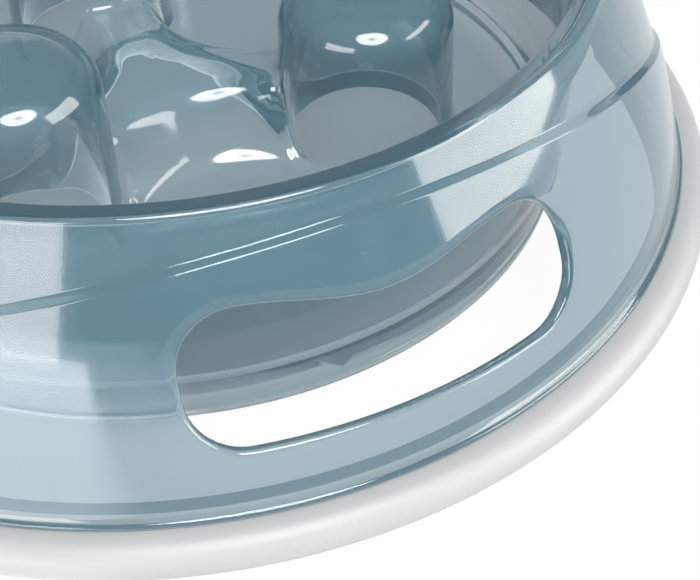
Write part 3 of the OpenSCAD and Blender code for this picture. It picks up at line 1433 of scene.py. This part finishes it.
@dataclass(frozen=True)
class SmokyPlastic:
    """Tinted plastic that shows what lies behind it: part clear, part milky.

    Args:
        name: the material's name.
        clear: tint of the light that passes straight through a wall.
        milky: colour of the light that the plastic scatters back, where it is dense.
        milky_thin: the same where it is thinner.
        dust: colour of the dust specks.
        milky_share: how much of the plastic is milky in its thin walls.
        thick_share: the same in the thick plastic of the star's arms.
        thick_reach: from where to where the arms end, in metres from the axis.
        thick_from: from where to where they begin, in metres over the ground.
        roughness: lowest surface roughness.
        index: refractive index of the skin, for its shine.
        bend: refractive index of the body, for how far it bends what lies behind a thin wall.
        haze: roughness of the body, for how much it blurs what lies behind.
        shadow: tint of the shadow that one surface lets through.
        grain: the surface detail.
    """

    name: str
    clear: Colour
    milky: Colour
    milky_thin: Colour
    dust: Colour
    milky_share: float
    thick_share: float
    thick_reach: tuple[float, float]
    thick_from: tuple[float, float]
    roughness: float
    index: float
    bend: float
    haze: float
    shadow: Colour
    grain: Grain

    def cloudiness(self, tree: bpy.types.NodeTree) -> Socket:
        """Share of milky plastic: plain in thin walls, and more in the thick arms of the star.

        The distance from the axis is the square root of x squared plus y squared.

        Args:
            tree: the material's node tree.

        Returns:
            The share's socket.
        """
        place = add_node(tree, "ShaderNodeTexCoord").outputs["Object"]
        split = add_node(tree, "ShaderNodeSeparateXYZ", {"Vector": place}).outputs
        across = combine(tree, "MULTIPLY", split["X"], split["X"])
        along = combine(tree, "MULTIPLY", split["Y"], split["Y"])
        from_axis = combine(tree, "POWER", combine(tree, "ADD", across, along), 0.5)
        inside = ramp(tree, from_axis, self.thick_reach, (1.0, 0.0))
        above = ramp(tree, split["Z"], self.thick_from)
        thick = combine(tree, "MULTIPLY", inside, above)
        return ramp(tree, thick, (0.0, 1.0), (self.milky_share, self.thick_share))

    def body(self, tree: bpy.types.NodeTree) -> Socket:
        """The plastic itself: a clear tinted shader under a glossy skin, mixed with a milky one.

        Args:
            tree: the material's node tree.

        Returns:
            The mixed shader's socket.
        """
        detail, normal = self.grain.place(tree, self.roughness)
        clear = {
            "Base Color": (*self.clear, 1),
            "Transmission Weight": 1.0,
            "IOR": self.bend,
            "Roughness": self.haze,
            "Coat Weight": 1.0,
            "Coat IOR": self.index,
            "Coat Roughness": self.roughness,
            "Coat Normal": normal,
        }
        cloudy = tint(tree, detail.outputs["Cloud"], self.milky_thin, self.milky)
        milky = {
            "Base Color": tint(tree, detail.outputs["Specks"], cloudy, self.dust),
            "IOR": self.index,
            "Roughness": detail.outputs["Roughness"],
            "Normal": normal,
        }
        kind = "ShaderNodeBsdfPrincipled"
        first, second = (add_node(tree, kind, inputs).outputs["BSDF"] for inputs in (clear, milky))
        return blend(tree, self.cloudiness(tree), first, second)

    def material(self) -> bpy.types.Material:
        """Makes the node material. Shadow rays and diffuse rays meet only a tinted veil.

        Returns:
            The material.
        """
        material = empty_material(self.name)
        tree = material.node_tree
        body = self.body(tree)
        veil = add_node(tree, "ShaderNodeBsdfTransparent", {"Color": (*self.shadow, 1)})
        paths = add_node(tree, "ShaderNodeLightPath").outputs
        passing = combine(tree, "MAXIMUM", paths["Is Shadow Ray"], paths["Is Diffuse Ray"])
        final = blend(tree, passing, body, veil.outputs["BSDF"])
        add_node(tree, "ShaderNodeOutputMaterial", {"Surface": final})
        return material


@dataclass(frozen=True)
class SatinRubber:
    """Soft rubber with a satin skin.

    Args:
        name: the material's name.
        pale: colour on the lighter patches.
        dull: colour on the duller patches.
        roughness: lowest surface roughness.
        specular: level of the surface's own shine.
        grain: the surface detail.
    """

    name: str
    pale: Colour
    dull: Colour
    roughness: float
    specular: float
    grain: Grain

    def material(self) -> bpy.types.Material:
        """Makes the node material.

        Returns:
            The material.
        """
        material = bpy.data.materials.new(self.name)
        material.use_nodes = True
        tree = material.node_tree
        detail, normal = self.grain.place(tree, self.roughness)
        skin = {
            "Base Color": tint(tree, detail.outputs["Cloud"], self.dull, self.pale),
            "Roughness": detail.outputs["Roughness"],
            "Normal": normal,
            "Specular IOR Level": self.specular,
        }
        feed(tree, tree.nodes["Principled BSDF"], skin)
        return material


PLASTIC = SmokyPlastic(
    name="bowl_plastic",
    clear=(0.68, 0.75, 0.77),
    milky=(0.23, 0.455, 0.57),
    milky_thin=(0.21, 0.435, 0.55),
    dust=(0.80, 0.84, 0.86),
    milky_share=0.25,
    thick_share=0.42,
    thick_reach=(0.022, 0.031),
    thick_from=(0.012, 0.0195),
    roughness=0.09,
    index=1.5,
    bend=1.22,
    haze=0.02,
    shadow=(0.60, 0.64, 0.66),
    grain=Grain(scale=30.0, spread=0.03, depth=0.0000005, speck_size=0.12, speck_share=0.02),
)
RUBBER = SatinRubber(
    name="ring_rubber",
    pale=(0.79, 0.80, 0.79),
    dull=(0.75, 0.76, 0.75),
    roughness=0.40,
    specular=0.4,
    grain=Grain(scale=80.0, spread=0.12, depth=0.00004, speck_size=0.1, speck_share=0.0),
)


# Lamps and camera


class Rays(Enum):
    """Which rays meet a lamp."""

    LIGHT = "light"
    SHINE = "shine"

    def set_on(self, lamp: bpy.types.Object) -> None:
        """Lets the lamp light the object, or only show in its gloss.

        Args:
            lamp: the lamp.
        """
        lamp.visible_camera = False
        lamp.visible_transmission = False
        lamp.visible_volume_scatter = False
        lamp.visible_diffuse = self is Rays.LIGHT
        lamp.visible_glossy = self is Rays.SHINE


@dataclass(frozen=True)
class Panel:
    """A soft light panel in a direction from the bowl.

    Args:
        name: the light's name.
        rays: which rays meet it.
        azimuth: its azimuth from the camera's own, in degrees.
        elevation: its elevation in degrees.
        width: its width in metres.
        height: its height in metres.
        radiance: how bright its face is, where white paper in the scene's light is about one.
        distance: its distance from the bowl, in metres.
        colour: its colour.
        round_shape: whether it is round.
        dim_middle: how much dimmer its middle is, as a share.
        dim_edge: how far from its middle the dimness begins and ends to fade, as shares of its width.
    """

    name: str
    rays: Rays
    azimuth: float
    elevation: float
    width: float
    height: float
    radiance: float
    distance: float = 2.0
    colour: Colour = (1.0, 1.0, 1.0)
    round_shape: bool = False
    dim_middle: float = 0.0
    dim_edge: tuple[float, float] = (0.06, 0.16)

    # The middle of a lamp's face, as shares of its width and its height.
    FACE_MIDDLE = (0.5, 0.5, 0.0)

    def build(self, camera_azimuth: float) -> bpy.types.Object:
        """Makes the area lamp; its power is radiance times its area times pi.

        Args:
            camera_azimuth: the camera's azimuth in degrees.

        Returns:
            The lamp, linked to the scene.
        """
        light = bpy.data.lights.new(self.name, "AREA")
        light.shape = "ELLIPSE" if self.round_shape else "RECTANGLE"
        light.size, light.size_y = self.width, self.height
        area = self.width * self.height * (math.pi / 4 if self.round_shape else 1.0)
        light.energy = self.radiance * area * math.pi
        light.color = self.colour
        if self.dim_middle:
            self.shade_middle(light)
        turn = math.radians(self.azimuth + camera_azimuth)
        rise = math.radians(self.elevation)
        way = Vector((math.sin(turn) * math.cos(rise), -math.cos(turn) * math.cos(rise), math.sin(rise)))
        lamp = bpy.data.objects.new(self.name, light)
        lamp.location = way * self.distance
        lamp.rotation_euler = way.to_track_quat("Z", "Y").to_euler()
        self.rays.set_on(lamp)
        bpy.context.scene.collection.objects.link(lamp)
        return lamp

    def shade_middle(self, light: bpy.types.Light) -> None:
        """Dims the middle of the lamp's face, as a bulb's mount does in a dish.

        Args:
            light: the lamp's light.
        """
        light.use_nodes = True
        tree = light.node_tree
        place = add_node(tree, "ShaderNodeNewGeometry").outputs["Parametric"]
        from_middle = measure(tree, "DISTANCE", place, self.FACE_MIDDLE)
        strength = ramp(tree, from_middle, self.dim_edge, (1.0 - self.dim_middle, 1.0), soft=False)
        feed(tree, tree.nodes["Emission"], {"Strength": strength})


PANELS = [
    Panel("top_light", Rays.LIGHT, 10, 55, width=1.2, height=1.2, radiance=6.2, round_shape=True),
    Panel("right_fill", Rays.LIGHT, 72, 25, width=1.5, height=1.0, radiance=1.3),
    Panel("left_fill", Rays.LIGHT, -42, 25, width=1.3, height=1.0, radiance=1.1),
    Panel(
        "dish",
        Rays.SHINE,
        11.8,
        55.1,
        width=0.21,
        height=0.21,
        radiance=16,
        distance=0.393,
        round_shape=True,
        dim_middle=0.75,
    ),
    Panel(
        "right_box", Rays.SHINE, 72.5, 17, width=1.48, height=1.54, radiance=8.0, colour=(1.0, 0.96, 0.90)
    ),
    Panel(
        "left_box", Rays.SHINE, -42, 15, width=1.3, height=1.07, radiance=8.0, colour=(1.0, 0.93, 0.90)
    ),
]


@dataclass(frozen=True)
class CameraPose:
    """The photo's camera, found from the bowl's circles and posts.

    Args:
        distance: distance in plan from the bowl's axis, in millimetres.
        height: height over the ground, in millimetres.
        azimuth: azimuth in degrees.
        pan: how far it looks to the right of the bowl's axis, in degrees.
        tilt: how far it looks down, in degrees.
        roll: how far the picture is turned, in degrees.
        focal: focal length in pixels of the 700 pixel wide picture.
        picture_w: the picture's width in pixels.
        sensor_w: the sensor's width in millimetres.
        nearest: distance from which it sees things, in metres.
    """

    distance: float = 255.15
    height: float = 192.45
    azimuth: float = -19.03
    pan: float = 8.822
    tilt: float = 43.066
    roll: float = 0.716
    focal: float = 1447.0
    picture_w: float = 700.0
    sensor_w: float = 36.0
    nearest: float = 0.01

    def build(self) -> bpy.types.Object:
        """Makes the scene's camera.

        Its forward direction comes from pan and tilt. Right and down lie square to it and are turned by
        the roll. All three are then turned about the bowl's axis by the azimuth.

        Returns:
            The camera.
        """
        pan, tilt, roll = (math.radians(v) for v in (self.pan, self.tilt, self.roll))
        turn = math.radians(self.azimuth)
        level = np.array([math.cos(pan), -math.sin(pan), 0.0])
        ahead = np.array([math.sin(pan) * math.cos(tilt), math.cos(pan) * math.cos(tilt), -math.sin(tilt)])
        under = np.cross(ahead, level)
        right = level * math.cos(roll) + under * math.sin(roll)
        down = under * math.cos(roll) - level * math.sin(roll)
        cosine, sine = math.cos(turn), math.sin(turn)
        spin = np.array([[cosine, -sine, 0], [sine, cosine, 0], [0, 0, 1]])
        pose = np.eye(4)
        pose[:3, :3] = spin @ np.stack([right, -down, -ahead], axis=-1)
        pose[:3, 3] = (self.distance * sine * MM, -self.distance * cosine * MM, self.height * MM)
        data = bpy.data.cameras.new("camera")
        data.sensor_width = self.sensor_w
        data.lens = self.focal * self.sensor_w / self.picture_w
        data.clip_start = self.nearest
        camera = bpy.data.objects.new("camera", data)
        camera.matrix_world = Matrix(pose.tolist())
        bpy.context.scene.collection.objects.link(camera)
        bpy.context.scene.camera = camera
        return camera


# Floor and surroundings


@dataclass(frozen=True)
class Studio:
    """The white floor, the surroundings and the lamps.

    Args:
        reach: half of the floor's width, in metres.
        floor_gap: how far under the ring it lies, in metres.
        floor_colour: the floor's own colour.
        floor_glow: share of plain white in the floor as the camera sees it; the rest keeps the shadow.
        floor_glow_behind: the same share in what plastic shows of the floor round the well; being lower, it
            paints shade under the skirt.
        floor_glow_under: the same share under the well, lower still as painted shade there, and in gloss.
        well_edge: how far from the axis the one turns into the other, in metres.
        glare: how much brighter the floor's left side, near its lamp, is in gloss.
        glare_near: share of it close to the bowl.
        glare_reach: from where to where it grows to the whole, in metres from the axis.
        glare_azimuth: where that side begins, in degrees from the camera's azimuth.
        glare_shift: how far right of the bowl's axis its line passes, in metres.
        glare_fade: half the width of its soft edge, in metres.
        room_colour: colour of the surroundings.
        room_strength: how bright the surroundings are.
    """

    reach: float = 4.0
    floor_gap: float = 0.0001
    floor_colour: Colour = (0.9, 0.9, 0.9)
    floor_glow: float = 0.97
    floor_glow_behind: float = 0.65
    floor_glow_under: float = 0.46
    well_edge: tuple[float, float] = (0.076, 0.088)
    glare: float = 15.0
    glare_near: float = 0.35
    glare_reach: tuple[float, float] = (0.13, 0.45)
    glare_azimuth: float = -20.0
    glare_shift: float = 0.024
    glare_fade: float = 0.008
    room_colour: Colour = (0.92, 0.97, 1.0)
    room_strength: float = 0.25

    def seen(self, tree: bpy.types.NodeTree, rays: dict[str, float]) -> Socket:
        """The largest of some values, each of which counts only for one kind of ray.

        Args:
            tree: the node tree.
            rays: the Light Path output's name and the value for each kind of ray.

        Returns:
            The value's socket.
        """
        paths = add_node(tree, "ShaderNodeLightPath").outputs
        first, *others = [combine(tree, "MULTIPLY", paths[ray], value) for ray, value in rays.items()]
        for other in others:
            first = combine(tree, "MAXIMUM", first, other)
        return first

    def from_axis(self, tree: bpy.types.NodeTree) -> Socket:
        """A floor point's distance from the bowl's axis, in metres."""
        return measure(tree, "LENGTH", add_node(tree, "ShaderNodeTexCoord").outputs["Object"])

    def glare_strength(self, tree: bpy.types.NodeTree, camera_azimuth: float) -> Socket:
        """Brightness of the floor's glow: plain, and more in gloss beside the line of the glare.

        A transmission ray counts as a glossy one too, so its part is taken away again.

        Args:
            tree: the node tree.
            camera_azimuth: the camera's azimuth in degrees.

        Returns:
            The strength's socket.
        """
        turn = math.radians(self.glare_azimuth + camera_azimuth)
        place = add_node(tree, "ShaderNodeTexCoord").outputs["Object"]
        beside = measure(tree, "DOT_PRODUCT", place, (-math.cos(turn), -math.sin(turn), 0.0))
        edge = (-self.glare_shift - self.glare_fade, -self.glare_shift + self.glare_fade)
        side = ramp(tree, beside, edge)
        near = ramp(tree, self.from_axis(tree), self.glare_reach, (self.glare_near, 1.0))
        gloss = self.seen(tree, {"Is Glossy Ray": self.glare})
        passing = self.seen(tree, {"Is Transmission Ray": self.glare})
        shine = combine(tree, "MAXIMUM", combine(tree, "SUBTRACT", gloss, passing), 0.0)
        for share in (side, near):
            shine = combine(tree, "MULTIPLY", shine, share)
        return combine(tree, "ADD", shine, 1.0)

    def glow_share(self, tree: bpy.types.NodeTree) -> Socket:
        """Share of plain white in the floor: less through plastic, and least under the well, as painted
        shade under the bowl.

        Args:
            tree: the node tree.

        Returns:
            The share's socket.
        """
        rays = {"Is Camera Ray": self.floor_glow, "Is Glossy Ray": self.floor_glow_under}
        plain = self.seen(tree, rays)
        through = self.seen(tree, {"Is Transmission Ray": 1.0})
        shares = (self.floor_glow_under, self.floor_glow_behind)
        # Less plain white under the well than round it is painted shade under the bowl.
        under = ramp(tree, self.from_axis(tree), self.well_edge, shares)
        return combine(tree, "MAXIMUM", plain, combine(tree, "MULTIPLY", through, under))

    def floor_material(self, camera_azimuth: float) -> bpy.types.Material:
        """A matt white floor that looks white, keeps the shadow and is clear from beneath.

        Args:
            camera_azimuth: the camera's azimuth in degrees.

        Returns:
            The material.
        """
        material = empty_material("floor_white")
        tree = material.node_tree
        matt = add_node(tree, "ShaderNodeBsdfDiffuse", {"Color": (*self.floor_colour, 1)})
        strength = self.glare_strength(tree, camera_azimuth)
        white = add_node(tree, "ShaderNodeEmission", {"Strength": strength})
        face = blend(tree, self.glow_share(tree), matt.outputs["BSDF"], white.outputs["Emission"])
        side = add_node(tree, "ShaderNodeNewGeometry").outputs["Backfacing"]
        clear = add_node(tree, "ShaderNodeBsdfTransparent").outputs["BSDF"]
        add_node(tree, "ShaderNodeOutputMaterial", {"Surface": blend(tree, side, face, clear)})
        return material

    def build(self, pose: CameraPose) -> None:
        """Lays the floor and sets the world and the lamps.

        Args:
            pose: the camera, from which the lamps' azimuths are measured.
        """
        mesh = bpy.data.meshes.new("floor")
        r, z = self.reach, -self.floor_gap
        mesh.from_pydata([(-r, -r, z), (r, -r, z), (r, r, z), (-r, r, z)], [], [(0, 1, 2, 3)])
        floor = bpy.data.objects.new("floor", mesh)
        bpy.context.scene.collection.objects.link(floor)
        floor.data.materials.append(self.floor_material(pose.azimuth))
        self.surround()
        for panel in PANELS:
            panel.build(pose.azimuth)
        bpy.context.scene.view_settings.view_transform = "Standard"

    def surround(self) -> None:
        """Sets the world: a pale room that lights the bowl, and plain white behind it in the picture."""
        world = bpy.data.worlds.new("studio")
        bpy.context.scene.world = world
        world.use_nodes = True
        tree = world.node_tree
        tree.nodes.clear()
        colours = {"Color": (*self.room_colour, 1), "Strength": self.room_strength}
        room = add_node(tree, "ShaderNodeBackground", colours)
        sheet = add_node(tree, "ShaderNodeBackground", {"Color": (1, 1, 1, 1)})
        white = self.seen(tree, {"Is Camera Ray": 1.0, "Is Transmission Ray": 1.0})
        both = blend(tree, white, room.outputs["Background"], sheet.outputs["Background"])
        add_node(tree, "ShaderNodeOutputWorld", {"Surface": both})


def main() -> None:
    """Builds the bowl, its ring, the camera and the studio."""
    logging.basicConfig(level=logging.INFO, format="%(name)s: %(message)s")
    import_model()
    sizes = BowlSizes()
    for maker in (Moulding(sizes), SoftRing(sizes)):
        piece = maker.build()
        maker.dress(piece)
        LOG.info("%s: built and dressed", piece.name)
    pose = CameraPose()
    pose.build()
    Studio().build(pose)


if __name__ == "__main__":
    main()
